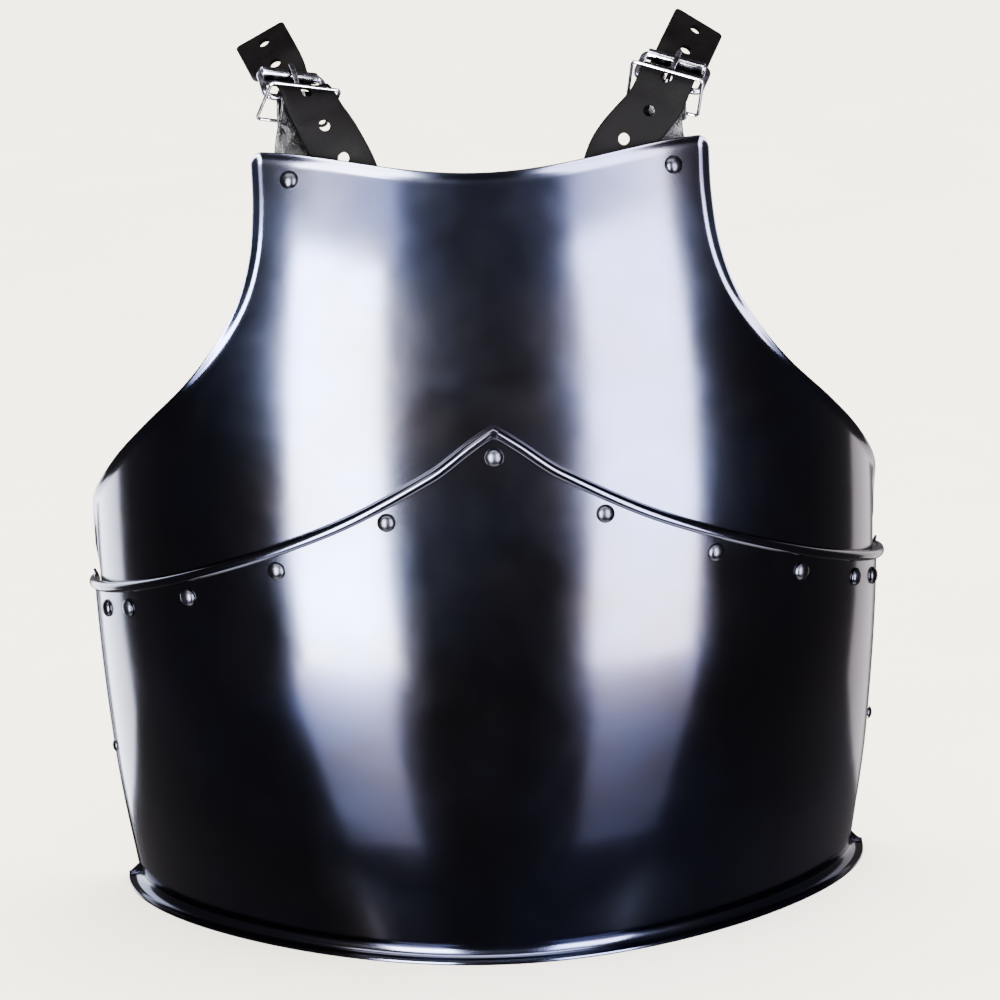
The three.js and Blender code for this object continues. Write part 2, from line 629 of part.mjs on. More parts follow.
sides.forEach(({ name }, i) => {
  const b = shoulderFor[name];
  const stations = smoothStations(strapStations(b), 40);
  let strap = punch(ribbon(stations, STRAP_WIDTH, STRAP_THICK), stations, HOLES, HOLE_RADIUS);
  const pinWay = place(boreGeometry(PRONG_RADIUS + 0.7, 20), inBuckle(b, 0, -BUCKLE_REACH + 5, PRONG_RISE), b.e2, b.e1);
  strap = strap.subtract(solid(pinWay));
  strap = strap.subtract(boreAt(sideRivets[1 - i]));
  add(`shoulder_strap_${name}`, geometryFrom(strap), leather(0x2e2a2c));

  const hanger = solid(ribbon(hangerStations(b), HANGER_WIDTH, HANGER_THICK));
  const slot = new THREE.BoxGeometry(2 * PRONG_RADIUS + 2.2, 14, 16).translate(0, -BUCKLE_REACH, 0).applyMatrix4(basis(b));
  add(`buckle_strap_${name}`, geometryFrom(hanger.subtract(solid(slot)).subtract(boreAt(shoulderRivets[i]))), leather(0x2a2627));

  add(`buckle_frame_${name}`, frameGeometry(b), steel(0x3c3d44));
  add(`buckle_roller_${name}`, rollerGeometry(b), steel(0x5a5c66));
  add(`buckle_prong_${name}`, prongGeometry(b), steel(0x4a4b52));
  add(`strap_keeper_${name}`, keeperGeometry(b), steel(0x6a6b72));
  const shoulder = shoulderRivets[i];
  add(`shoulder_rivet_${name}`, place(rivetGeometry(RIVET_HEAD, RIVET_SHANK, shoulder.stack), shoulder.at, shoulder.axis), steel(0x3a3b42));
  const flank = sideRivets[i];
  add(`side_rivet_${name}`, place(rivetGeometry(3.6, RIVET_SHANK, flank.stack), flank.at, flank.axis), steel(0x3a3b42));
});

// ---------------------------------------------------------------- origin under the middle

const box = new THREE.Box3().setFromObject(group);
group.children.forEach((mesh) => {
  mesh.geometry.translate(-(box.min.x + box.max.x) / 2, -(box.min.y + box.max.y) / 2, -box.min.z);
});

export default group;
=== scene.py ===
"""Steel breastplate: the visible model, its materials, the stage, lights and camera."""

import math

import bpy
from bpy.props import FloatProperty, FloatVectorProperty, PointerProperty
from bpy.types import Operator, Panel, PropertyGroup
from mathutils import Matrix, Vector


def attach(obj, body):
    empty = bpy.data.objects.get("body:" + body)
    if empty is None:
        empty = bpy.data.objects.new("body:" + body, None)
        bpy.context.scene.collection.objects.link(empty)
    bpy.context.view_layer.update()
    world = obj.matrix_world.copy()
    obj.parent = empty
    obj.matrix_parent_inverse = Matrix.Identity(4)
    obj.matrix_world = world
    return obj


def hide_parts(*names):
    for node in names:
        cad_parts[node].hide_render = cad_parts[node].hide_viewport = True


bl_info = {
    "name": "Steel Breastplate",
    "version": (1, 0, 0),
    "blender": (4, 5, 0),
    "location": "3D Viewport > Sidebar > Breastplate",
    "description": "Builds a blackened steel breastplate with a riveted plackart and buckled shoulder straps",
    "category": "Object",
}

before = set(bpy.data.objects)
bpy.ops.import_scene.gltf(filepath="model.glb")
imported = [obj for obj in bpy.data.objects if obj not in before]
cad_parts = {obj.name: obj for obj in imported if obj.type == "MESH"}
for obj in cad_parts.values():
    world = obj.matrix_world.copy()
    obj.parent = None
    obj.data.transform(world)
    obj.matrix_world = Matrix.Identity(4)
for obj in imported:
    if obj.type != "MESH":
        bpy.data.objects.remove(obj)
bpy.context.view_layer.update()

# ------------------------------------------------------------------ sizes, in millimetres

SHEET = 1.4               # thickness of both plates
LOWER_FACE = 2.2          # outer face of the plackart above the upper plate's
PLATE_TOP = 421.6         # neckline height at its corners
NECK_DIP = 10.5
NECK_ANGLE = 33           # the neckline's dip reaches this many degrees to each side
LAP = 32.0                # the upper plate runs this far down behind the bead
EDGE_RADIUS = 7.0
EDGE_ANGLE = 0.5          # turn of the neck, armhole and side edges, in radians
EDGE_FLANGE = 2.4
RIM_FADE = 14             # the turned edge flattens out over this height, just above the bead
EDGE_INSET = 2.2          # the turn starts this far inside the sheet's edge line
LIP_RADIUS = 5.0
LIP_FLANGE = 2.4
FOOT = LIP_RADIUS + SHEET
FLANK_ANGLE = 90.0
FLANK_PLACE = 88.46       # the plates' side edges lie in this plane, along +Y
BEAD_RADIUS = 2.8
BEAD_PROUD = 1.3
RIVET_GIRTHS = (0, 54.5, 112, 166, 219, 253)
TAPE_HEIGHT = 200         # the girths between the rivets are measured here, in steps of this many degrees
TAPE_STEP = 0.25
RIVET_DROPS = (13, 10, 10.5, 11, 11.5, 12)
SHOULDER_RIVET = (28.6, 412.3)
SIDE_RIVET = (84, 82)     # angle and height, as for the shoulder rivet
RIVET_HEAD = 4.8          # radii of the heads and shanks
RIVET_RISE = 0.64         # a dome's rise as a share of its radius
TAIL_SHARE = 0.7          # a peened tail's radius as a share of its head's
RIVET_SHANK = 2.3
SIDE_RIVET_HEAD = 3.6
STRAP_WIDTH = 28.0
STRAP_THICK = 2.6
TIP_RADIUS = 1.3          # the free end is cut square, its corners just eased
HANGER_WIDTH = 20.0
HANGER_THICK = 2.0
HOLES = (8, 27, 70, 89, 108)
HOLE_RADIUS = 3.0
BAR_RADIUS = 1.7
ROLLER_RADIUS = 3.0
BUCKLE_INSIDE = 15.2
BUCKLE_REACH = 9.0
PRONG_RADIUS = 1.3
KEEPER_RADIUS = 0.9
CONTACT = 0.3


def millimetres(value):
    return value / 1000


# ------------------------------------------------------------------ the body's shape


def curve_through(pairs):
    """A smooth curve through a few (input, value) pairs."""
    last = len(pairs) - 1
    slopes = []
    for i in range(last + 1):
        before, after = pairs[max(i - 1, 0)], pairs[min(i + 1, last)]
        slopes.append((after[1] - before[1]) / (after[0] - before[0]))

    def value(x):
        i = 0
        while i < last - 1 and x > pairs[i + 1][0]:
            i += 1
        span = pairs[i + 1][0] - pairs[i][0]
        t = (x - pairs[i][0]) / span
        a = 2 * t**3 - 3 * t**2 + 1
        return (a * pairs[i][1] + (1 - a) * pairs[i + 1][1]
                + (t**3 - 2 * t**2 + t) * span * slopes[i] + (t**3 - t**2) * span * slopes[i + 1])

    return value


half_width = curve_through([(0, 194), (70, 204), (165, 210), (260, 209), (345, 200), (430, 183)])
body_depth = curve_through([(0, 152), (70, 166), (165, 176), (260, 176), (345, 166), (430, 140)])
keel = curve_through([(0, 0.03), (90, 0.0), (170, -0.022), (430, -0.026)])
bead_height = curve_through([(0, 289), (3, 281), (8, 266.5), (22, 238.5), (43, 211), (66, 189), (90, 172)])
armhole_angle = curve_through([
    (130, 88), (200, 88), (216, 84), (230, 77), (244, 70), (262, 62), (280, 54.3), (303, 45.4), (326, 39.2),
    (350, 35), (374, 33.2), (400, 33.2), (424, 34.2)])


def body_point(angle, height):
    """The upper plate's outer face, at an angle from the middle towards +X and a height."""
    turn = math.radians(angle)
    k = keel(height)
    return Vector((
        half_width(height) * (math.sin(turn) - k * math.sin(3 * turn)) / (1 + k),
        -body_depth(height) * (math.cos(turn) + k * math.cos(3 * turn)) / (1 + k),
        height))


def body_normal(angle, height):
    across = body_point(angle + 0.5, height) - body_point(angle - 0.5, height)
    up = body_point(angle, height + 2) - body_point(angle, height - 2)
    return across.cross(up).normalized()


def on_body(angle, height, out=0.0):
    """A point this far out from the upper plate's outer face."""
    return body_point(angle, height) + body_normal(angle, height) * out


def placed(point):
    """A point of the body's own millimetre frame, in metres in the part's frame."""
    return Vector((point.x, point.y + FLANK_PLACE, point.z)) / 1000


def angle_at_girth(length):
    """The angle that a tape of this length reaches from the middle, laid round the body below the bead."""
    angle, girth = 0.0, 0.0
    while girth < length:
        start = body_point(angle, TAPE_HEIGHT)
        angle += TAPE_STEP
        girth += (body_point(angle, TAPE_HEIGHT) - start).length
    return angle


def mix(*terms):
    """The sum of (vector, amount) pairs."""
    total = Vector((0, 0, 0))
    for vector, amount in terms:
        total += vector * amount
    return total


# ------------------------------------------------------------------ modelling helpers


def nothing_selected():
    bpy.ops.object.select_all(action="DESELECT")


def edit(mode="EDIT"):
    bpy.ops.object.mode_set(mode=mode)


def grid_piece(name, columns, rows, place):
    """A flat grid, each of whose corners is then laid at place(column, row), in metres."""
    nothing_selected()
    bpy.ops.mesh.primitive_grid_add(x_subdivisions=columns, y_subdivisions=rows, size=2)
    piece = bpy.context.object
    piece.name = piece.data.name = name
    for vertex in piece.data.vertices:
        column = round((vertex.co.x + 1) / 2 * columns)
        row = round((vertex.co.y + 1) / 2 * rows)
        vertex.co = place(column, row)
    piece.data.update()
    return piece


def apply_modifier(piece, kind, **settings):
    nothing_selected()
    piece.select_set(True)
    bpy.context.view_layer.objects.active = piece
    modifier = piece.modifiers.new(kind.title(), kind)
    for key, value in settings.items():
        setattr(modifier, key, value)
    bpy.ops.object.modifier_apply(modifier=modifier.name)


def merged(piece, distance=0.00001):
    """Merges doubles, closes open ends, and turns all the faces outwards."""
    bpy.context.view_layer.objects.active = piece
    edit()
    bpy.ops.mesh.select_all(action="SELECT")
    bpy.ops.mesh.remove_doubles(threshold=distance)
    bpy.ops.mesh.select_all(action="DESELECT")
    bpy.ops.mesh.select_mode(type="EDGE")
    bpy.ops.mesh.select_non_manifold(extend=False)
    if any(edge.select for edge in edges_in_edit(piece)):
        bpy.ops.mesh.fill_holes(sides=0)
    bpy.ops.mesh.select_all(action="SELECT")
    bpy.ops.mesh.normals_make_consistent(inside=False)
    edit("OBJECT")
    return piece


def edges_in_edit(piece):
    piece.update_from_editmode()
    return piece.data.edges


def smooth(piece, degrees=35):
    nothing_selected()
    piece.select_set(True)
    bpy.context.view_layer.objects.active = piece
    bpy.ops.object.shade_smooth_by_angle(angle=math.radians(degrees))


def finish_piece(piece, material, slot, *nodes):
    piece.data.materials.clear()
    piece.data.materials.append(material_named(material))
    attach(piece, "root")
    if nodes:
        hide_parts(*nodes)
    return piece


def wire_piece(name, route, radius, sides, up, closed=False, rounded=False):
    """A round bar along a route in metres; up(i) points across it at station i."""
    count = len(route)
    sections = []
    for i, point in enumerate(route):
        ahead = route[(i + 1) % count] if closed else route[min(i + 1, count - 1)]
        behind = route[i - 1] if closed or i else route[0]
        along = (ahead - behind).normalized()
        x = up(i) - along * up(i).dot(along)
        x.normalize()
        y = along.cross(x)
        sections.append([point + (x * math.cos(a) + y * math.sin(a)) * radius
                         for a in (2 * math.pi * k / sides for k in range(sides))])
    if rounded:
        for end, inward in ((0, 1), (count - 1, -1)):
            tip = route[end] - route[end + inward]
            tip.normalize()
            ring = sections[end]
            caps = []
            for turn in (0.35, 0.7, 1.05, 1.4):
                caps.append([route[end] + tip * radius * math.sin(turn) + (p - route[end]) * math.cos(turn)
                             for p in ring])
            sections = caps[::-1] + sections if end == 0 else sections + caps
    rows = len(sections)

    def place(column, row):
        return sections[column % rows if closed else column][row % sides]

    piece = grid_piece(name, rows if closed else rows - 1, sides, place)
    return merged(piece, 0.000005)


# ------------------------------------------------------------------ materials

PLATE_STEEL = "oil_blackened_polished_steel"
RIVET_STEEL = "peened_blackened_steel"
BUCKLE_STEEL = "tarnished_steel_wire"
STRAP_LEATHER = "waxed_cowhide"
LOOP_LEATHER = "creased_waxed_cowhide"
GROUND_BOARD = "cream_plaster_board"


def linear(code):
    """A six-figure sRGB hex colour as linear red, green, blue and alpha."""
    parts = [int(code[i:i + 2], 16) / 255 for i in (1, 3, 5)]
    return tuple(c / 12.92 if c <= 0.04045 else ((c + 0.055) / 1.055) ** 2.4 for c in parts) + (1.0,)


def every(size):
    """The scale of a pattern, on coordinates in metres, whose features are this many millimetres apart."""
    return 1000 / size


def add_node(tree, kind, values=None, links=None, stops=None, **settings):
    """Adds a node with its attributes, socket values, colour stops and links from (node, output) pairs."""
    made = tree.nodes.new(kind)
    for key, value in settings.items():
        setattr(made, key, value)
    for key, value in (values or {}).items():
        made.inputs[key].default_value = value
    for key, (source, output) in (links or {}).items():
        tree.links.new(source.outputs[output], made.inputs[key])
    for element, (place, color) in zip(made.color_ramp.elements if stops else (), stops or ()):
        element.position = place
        element.color = color
    return made


def new_material(name):
    material = bpy.data.materials.new(name)
    material.use_nodes = True
    material.node_tree.nodes.clear()
    return material, material.node_tree


def oil_blackened_polished_steel(name, colors):
    """Mild steel, polished, then heat-blackened in oil: near-black with a blue and brown cast,
    mirror-like, with hazy wiping marks, hairline scratches and a few pale specks."""
    material, tree = new_material(name)
    place = add_node(tree, "ShaderNodeTexCoord")
    cast = add_node(tree, "ShaderNodeTexNoise", {"Scale": every(111), "Detail": 3.0, "Roughness": 0.55},
                    {"Vector": (place, "Object")})
    warm = add_node(tree, "ShaderNodeMapRange", {"From Min": 0.36, "From Max": 0.52},
                    {"Value": (cast, "Fac")})
    cold = add_node(tree, "ShaderNodeMapRange", {"From Min": 0.52, "From Max": 0.68},
                    {"Value": (cast, "Fac")})
    plain = add_node(tree, "ShaderNodeMix", {"A": linear("#2c2a2f"), "B": colors.steel},
                     {"Factor": (warm, "Result")}, data_type="RGBA")
    color = add_node(tree, "ShaderNodeMix", {"B": linear("#2f3345")},
                     {"Factor": (cold, "Result"), "A": (plain, "Result")}, data_type="RGBA")
    # Wiping marks: hazy patches some 60 mm across.
    haze = add_node(tree, "ShaderNodeTexNoise",
                    {"Scale": every(58.8), "Detail": 7.0, "Roughness": 0.6, "Distortion": 0.4},
                    {"Vector": (place, "Object")})
    rough = add_node(tree, "ShaderNodeMapRange",
                     {"From Min": 0.4, "From Max": 0.8, "To Min": 0.13, "To Max": 0.19},
                     {"Value": (haze, "Fac")})
    # Hairline scratches about 1 mm apart and 17 mm long, as hand polishing leaves them, drawn
    # wider apart than real ones so that they show.
    long_way, short_way = every(16.67), every(1.111)
    stretch = add_node(tree, "ShaderNodeMapping",
                       {"Scale": (long_way, long_way, short_way), "Rotation": (0.0, 0.35, 0.2)},
                       {"Vector": (place, "Object")})
    hair = add_node(tree, "ShaderNodeTexNoise", {"Scale": 1.0, "Detail": 4.0, "Roughness": 0.7},
                    {"Vector": (stretch, "Vector")})
    # Shallow hammer marks, nearly planished away.
    dent = add_node(tree, "ShaderNodeTexNoise", {"Scale": every(38.46), "Detail": 2.0},
                    {"Vector": (place, "Object")})
    fine = add_node(tree, "ShaderNodeMath", {1: 0.02}, {0: (hair, "Fac")}, operation="MULTIPLY")
    height = add_node(tree, "ShaderNodeMath", {1: 0.5}, {0: (dent, "Fac"), 2: (fine, "Value")},
                      operation="MULTIPLY_ADD")
    bump = add_node(tree, "ShaderNodeBump", {"Strength": 0.10, "Distance": 0.001},
                    {"Height": (height, "Value")})
    specks = add_node(tree, "ShaderNodeTexVoronoi", {"Scale": every(10.526)}, {"Vector": (place, "Object")})
    dot = add_node(tree, "ShaderNodeMapRange",
                   {"From Min": 0.0, "From Max": 0.05, "To Min": 0.5, "To Max": 0.0},
                   {"Value": (specks, "Distance")})
    pale = add_node(tree, "ShaderNodeMix", {"B": linear("#4a4950")},
                    {"Factor": (dot, "Result"), "A": (color, "Result")}, data_type="RGBA")
    shader = add_node(tree, "ShaderNodeBsdfPrincipled", {"Metallic": 1.0},
                      {"Base Color": (pale, "Result"), "Roughness": (rough, "Result"),
                       "Normal": (bump, "Normal")})
    add_node(tree, "ShaderNodeOutputMaterial", links={"Surface": (shader, "BSDF")})
    return material


def marked_metal(name, stops, mark_size, smoothest, roughest):
    """A bare metal whose colour and polish vary over marks this many millimetres across."""
    material, tree = new_material(name)
    place = add_node(tree, "ShaderNodeTexCoord")
    marks = add_node(tree, "ShaderNodeTexNoise", {"Scale": every(mark_size), "Detail": 5.0, "Roughness": 0.6},
                     {"Vector": (place, "Object")})
    color = add_node(tree, "ShaderNodeValToRGB", links={"Fac": (marks, "Fac")}, stops=stops)
    rough = add_node(tree, "ShaderNodeMapRange",
                     {"From Min": 0.35, "From Max": 0.7, "To Min": smoothest, "To Max": roughest},
                     {"Value": (marks, "Fac")})
    bump = add_node(tree, "ShaderNodeBump", {"Strength": 0.15, "Distance": 0.0004},
                    {"Height": (marks, "Fac")})
    shader = add_node(tree, "ShaderNodeBsdfPrincipled", {"Metallic": 1.0},
                      {"Base Color": (color, "Color"), "Roughness": (rough, "Result"),
                       "Normal": (bump, "Normal")})
    add_node(tree, "ShaderNodeOutputMaterial", links={"Surface": (shader, "BSDF")})
    return material


def peened_blackened_steel(name, colors):
    """The plates' steel, hammered over at each rivet and blackened again: a little duller than the plates."""
    return marked_metal(name, [(0.3, linear("#1d1d21")), (0.7, linear("#2b2b31"))], 6.25, 0.24, 0.38)


def tarnished_steel_wire(name, colors):
    """Bright drawn steel wire, grey with handling: sharp highlights with darker stained patches."""
    return marked_metal(name, [(0.35, linear("#5b5a60")), (0.65, colors.buckle)], 4.545, 0.12, 0.3)


def leather(name, stops, smoothest, roughest, pore, crease, shine):
    """Vegetable-tanned cowhide, dyed through and waxed: pores this many millimetres across, and creases."""
    material, tree = new_material(name)
    place = add_node(tree, "ShaderNodeTexCoord")
    cells = add_node(tree, "ShaderNodeTexVoronoi", {"Scale": every(pore)}, {"Vector": (place, "Object")})
    cloudy = add_node(tree, "ShaderNodeTexNoise", {"Scale": every(16.67), "Detail": 6.0, "Roughness": 0.65},
                      {"Vector": (place, "Object")})
    color = add_node(tree, "ShaderNodeValToRGB", links={"Fac": (cloudy, "Fac")}, stops=stops)
    rough = add_node(tree, "ShaderNodeMapRange",
                     {"From Min": 0.35, "From Max": 0.7, "To Min": smoothest, "To Max": roughest},
                     {"Value": (cloudy, "Fac")})
    folds = add_node(tree, "ShaderNodeTexNoise",
                     {"Scale": every(7.143), "Detail": 4.0, "Roughness": 0.6, "Distortion": 1.2},
                     {"Vector": (place, "Object")})
    deep = add_node(tree, "ShaderNodeMath", {1: crease}, {0: (folds, "Fac")}, operation="MULTIPLY")
    height = add_node(tree, "ShaderNodeMath", {1: 0.4}, {0: (cells, "Distance"), 2: (deep, "Value")},
                      operation="MULTIPLY_ADD")
    bump = add_node(tree, "ShaderNodeBump", {"Strength": 0.45, "Distance": 0.0005},
                    {"Height": (height, "Value")})
    shader = add_node(tree, "ShaderNodeBsdfPrincipled",
                      {"Metallic": 0.0, "IOR": 1.48, "Specular IOR Level": shine},
                      {"Base Color": (color, "Color"), "Roughness": (rough, "Result"),
                       "Normal": (bump, "Normal")})
    add_node(tree, "ShaderNodeOutputMaterial", links={"Surface": (shader, "BSDF")})
    return material


def waxed_cowhide(name, colors):
    """The long straps: flat, satin-matte, near-black, with pores drawn at 0.8 mm so that they show."""
    return leather(name, [(0.3, linear("#050405")), (0.7, colors.leather)], 0.46, 0.62, 0.8, 0.5, 0.014)


def creased_waxed_cowhide(name, colors):
    """The short straps: the same hide, creased and shiny where it is folded tight."""
    return leather(name, [(0.3, linear("#070607")), (0.7, linear("#0d0c0f"))], 0.2, 0.38, 1.1, 3.5, 0.13)


def cream_plaster_board(name, colors):
    """The ground: matt, even and pale, with a faint mottle."""
    material, tree = new_material(name)
    place = add_node(tree, "ShaderNodeTexCoord")
    mottle = add_node(tree, "ShaderNodeTexNoise", {"Scale": every(142.86), "Detail": 5.0},
                      {"Vector": (place, "Object")})
    color = add_node(tree, "ShaderNodeValToRGB", links={"Fac": (mottle, "Fac")},
                     stops=[(0.3, linear("#ece8df")), (0.7, colors.ground)])
    shader = add_node(tree, "ShaderNodeBsdfPrincipled", {"Roughness": 0.9}, {"Base Color": (color, "Color")})
    add_node(tree, "ShaderNodeOutputMaterial", links={"Surface": (shader, "BSDF")})
    return material


MAKERS = {
    PLATE_STEEL: oil_blackened_polished_steel,
    RIVET_STEEL: peened_blackened_steel,
    BUCKLE_STEEL: tarnished_steel_wire,
    STRAP_LEATHER: waxed_cowhide,
    LOOP_LEATHER: creased_waxed_cowhide,
    GROUND_BOARD: cream_plaster_board,
}


def material_named(name):
    """The named material, made the first time that it is asked for."""
    return bpy.data.materials.get(name) or MAKERS[name](name, bpy.context.scene.breastplate_colors)


# ------------------------------------------------------------------ the plates

EDGE_LOOPS = 7            # rows of faces round each turned edge
UPPER_GRID = (170, 150)   # faces across and up the flat of each plate
LOWER_GRID = (170, 110)
PLAIN_SHARE = 0.3         # how far a plain edge reaches, as a share of a turned one
FOOT_CORNER_BACK = 0.4    # how far the lip's corner is drawn back, as a share of its rise
CUT_EDGE_BEVEL = 0.3
NECK_CURVE_RADIUS = 200   # about the body's radius of curvature at the armholes and at the flanks
FLANK_CURVE_RADIUS = 160


def turned_edge(radius, angle, flange):
    """How far past the edge and how far up each loop of a turned edge lies."""
    bends = EDGE_LOOPS - 2
    loops = [(radius * math.sin(angle * k / bends), radius * (1 - math.cos(angle * k / bends)))
             for k in range(1, bends + 1)]
    out, up = loops[-1]
    for share in (0.5, 1.0):
        loops.append((out + share * flange * math.cos(angle), up + share * flange * math.sin(angle)))
    return loops


def soften(loops, amount):
    """A turned edge laid flatter: amount 1 keeps it, 0 makes it a plain edge."""
    return [(out * (PLAIN_SHARE + (1 - PLAIN_SHARE) * amount), up * amount) for out, up in loops]


def row_height(angle, fraction):
    """The height of the upper plate's row at an angle, the row being a fraction of the way up."""
    bottom = bead_height(abs(angle)) - LAP
    neck = math.cos(math.radians(min(90, abs(angle) / NECK_ANGLE * 90)))
    return bottom + fraction * (PLATE_TOP - NECK_DIP * neck * neck - bottom)


def edge_angle(fraction):
    """The angle where that row meets the armhole, found by closing in on it step by step."""
    angle = 60.0
    for _ in range(40):
        angle = (angle + armhole_angle(row_height(angle, fraction))) / 2
    return angle


def sheet_piece(name, columns, rows, lay, face, loops_at, thickness, level_foot=False):
    """A sheet laid by lay(u, v) -> (angle, height), with turned edges on its four sides, given its
    thickness inwards. loops_at(side, height) gives the turn; sides are bottom, right, top, left."""
    cells = {}

    def spot(i, j):
        if (i, j) not in cells:
            angle, height = lay(2 * i / columns - 1, j / rows)
            cells[i, j] = (on_body(angle, height, face), body_normal(angle, height), height)
        return cells[i, j]

    def outward(i, j, side):
        normal = spot(i, j)[1]
        if side in (1, 3):
            along = spot(i, min(j + 1, rows))[0] - spot(i, max(j - 1, 0))[0]
            sign = 1 if side == 1 else -1
        else:
            along = spot(min(i + 1, columns), j)[0] - spot(max(i - 1, 0), j)[0]
            sign = -1 if side == 2 else 1
        return along.cross(normal).normalized() * sign

    def place(column, row):
        i = min(max(column - EDGE_LOOPS, 0), columns)
        j = min(max(row - EDGE_LOOPS, 0), rows)
        past_side = abs(column - EDGE_LOOPS - i)
        past_end = abs(row - EDGE_LOOPS - j)
        here, normal, height = spot(i, j)
        k = max(past_side, past_end)
        if k == 0:
            return placed(here)
        side = 1 if column > EDGE_LOOPS + columns / 2 else 3
        end = 2 if row > EDGE_LOOPS + rows / 2 else 0
        if level_foot and past_end and end == 0:
            out, up = loops_at(0, height)[k - 1]
            level = Vector((normal.x, normal.y, 0)).normalized()
            foot = Vector((here.x, here.y, height - out)) + level * up
            if past_side:
                share = min(past_side, past_end) / k
                foot += Vector((0, 1, 0)) * share * up * FOOT_CORNER_BACK
            return placed(foot)
        if past_side and past_end:
            share = past_end / (2 * k) if past_end <= past_side else 1 - past_side / (2 * k)
            away = (outward(i, j, side) * (1 - share) + outward(i, j, end) * share).normalized()
            loops = loops_at(side, height)
        elif past_side:
            away, loops = outward(i, j, side), loops_at(side, height)
        else:
            away, loops = outward(i, j, end), loops_at(end, height)
        out, up = loops[k - 1]
        return placed(here + away * out + normal * up)

    piece = grid_piece(name, columns + 2 * EDGE_LOOPS, rows + 2 * EDGE_LOOPS, place)
    apply_modifier(piece, "SOLIDIFY", thickness=thickness, offset=-1)
    apply_modifier(piece, "BEVEL", width=millimetres(CUT_EDGE_BEVEL), segments=2, limit_method="ANGLE",
                   angle_limit=math.radians(60))
    return piece


def upper_plate(sizes):
    covered_to = bead_height(FLANK_ANGLE) + 2 * BEAD_RADIUS
    turned = turned_edge(EDGE_RADIUS, EDGE_ANGLE, EDGE_FLANGE)
    plain = soften(turned, 0)

    def lay(u, v):
        angle = u * (edge_angle(v) - math.degrees(EDGE_INSET / NECK_CURVE_RADIUS))
        return angle, row_height(angle, v) - EDGE_INSET * v

    def loops_at(side, height):
        if side == 0:
            return plain
        amount = min(max((height - covered_to) / RIM_FADE, 0), 1)
        return soften(turned, amount)

    piece = sheet_piece("upper_plate", *UPPER_GRID, lay, 0.0, loops_at, sizes.sheet)
    smooth(piece)
    finish_piece(piece, PLATE_STEEL, "plate_steel", "breast_plate")


def plackart(sizes):
    lip = turned_edge(LIP_RADIUS, math.pi / 2, LIP_FLANGE)
    side_turn = turned_edge(EDGE_RADIUS, EDGE_ANGLE, EDGE_FLANGE)
    plain = [(0.1 * (k + 1), 0.0) for k in range(EDGE_LOOPS)]

    def lay(u, v):
        angle = u * (FLANK_ANGLE - math.degrees(EDGE_INSET / FLANK_CURVE_RADIUS))
        return angle, FOOT + v * (bead_height(abs(angle)) - FOOT)

    def loops_at(side, height):
        if side == 0:
            return lip
        return plain if side == 2 else side_turn

    piece = sheet_piece("plackart_plate", *LOWER_GRID, lay, LOWER_FACE, loops_at, sizes.sheet,
                        level_foot=True)
    smooth(piece)
    finish_piece(piece, PLATE_STEEL, "plate_steel", "plackart")

    count = 360
    angles = [(2 * i / count - 1) * FLANK_ANGLE for i in range(count + 1)]
    route = [placed(on_body(a, bead_height(abs(a)), LOWER_FACE + BEAD_PROUD)) for a in angles]
    bead = wire_piece("plackart_bead", route, sizes.bead, 20,
                      lambda i: body_normal(angles[min(i, count)], bead_height(abs(angles[min(i, count)]))),
                      rounded=True)
    smooth(bead)
    finish_piece(bead, PLATE_STEEL, "plate_steel", "plackart")


# ------------------------------------------------------------------ rivets


def rivet_model(name, head, shank, stack):
    """A round-head rivet at the origin, head up: dome, shank and peened tail, in one piece."""
    nothing_selected()
    bpy.ops.mesh.primitive_uv_sphere_add(segments=28, ring_count=18, radius=millimetres(head))
    rivet = bpy.context.object
    rivet.name = rivet.data.name = name
    edit()
    bpy.ops.mesh.select_all(action="SELECT")
    bpy.ops.transform.resize(value=(1, 1, RIVET_RISE))
    bpy.ops.mesh.bisect(plane_co=(0, 0, 0.0002), plane_no=(0, 0, 1), clear_inner=True, use_fill=True)
    bpy.ops.mesh.inset(thickness=millimetres(head - shank))
    bpy.ops.mesh.extrude_region_move(TRANSFORM_OT_translate={"value": (0, 0, -millimetres(stack + 0.6))})
    bpy.ops.mesh.extrude_region_move(TRANSFORM_OT_translate={"value": (0, 0, 0)})
    grown = head * TAIL_SHARE / shank
    bpy.ops.transform.resize(value=(grown, grown, 1))
    bpy.ops.mesh.extrude_region_move(TRANSFORM_OT_translate={"value": (0, 0, -millimetres(0.7))})
    bpy.ops.mesh.inset(thickness=millimetres(0.8))
    bpy.ops.transform.translate(value=(0, 0, -millimetres(0.5)))
    bpy.ops.mesh.select_all(action="SELECT")
    bpy.ops.mesh.normals_make_consistent(inside=False)
    edit("OBJECT")
    return rivet


def set_rivet(model, name, node, angle, height, face):
    """Sets a copy of a rivet on the body, with its own mesh."""
    nothing_selected()
    model.select_set(True)
    bpy.context.view_layer.objects.active = model
    bpy.ops.object.duplicate()
    rivet = bpy.context.object
    rivet.name = rivet.data.name = name
    turn = body_normal(angle, height).to_track_quat("Z", "Y").to_matrix().to_4x4()
    rivet.data.transform(Matrix.Translation(placed(on_body(angle, height, face + 0.1))) @ turn)
    smooth(rivet, 40)
    finish_piece(rivet, RIVET_STEEL, "rivet_steel", node)


